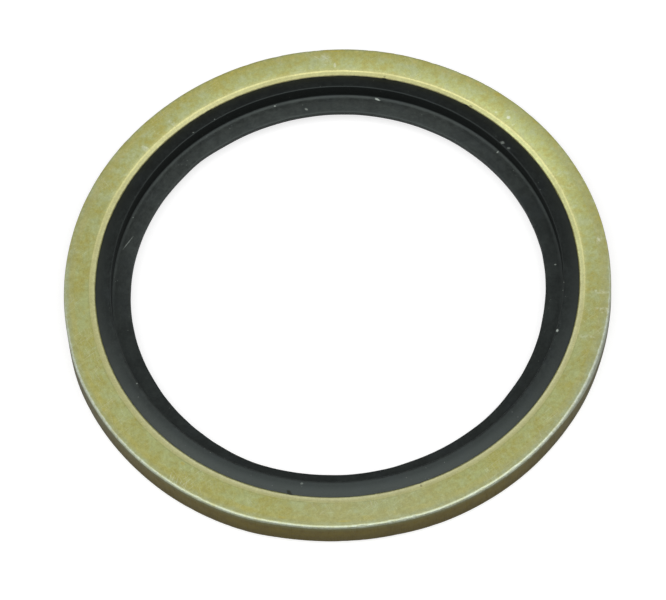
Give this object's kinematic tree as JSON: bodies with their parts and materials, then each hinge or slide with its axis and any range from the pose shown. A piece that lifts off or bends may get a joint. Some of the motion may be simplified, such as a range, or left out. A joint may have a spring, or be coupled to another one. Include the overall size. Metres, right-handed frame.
{
  "type": "bonded sealing washer",
  "caption": "Flat steel ring with a rubber sealing bead bonded in its bore and a thin inner web that centres it on a thread.",
  "frame": {"origin": "middle of the washer: on the bore's axis, at mid-thickness", "axes": "+Z along the bore's axis; the washer is the same above and below and all round"},
  "size_m": [0.0586, 0.0586, 0.0042],
  "materials": {
    "plated_steel": "zinc plated, yellow passivated",
    "seal_rubber": "moulded black nitrile, satin"
  },
  "bodies": {
    "root": {"metal_ring": "plated_steel", "rubber_seal": "seal_rubber"}
  },
  "joints": []
}
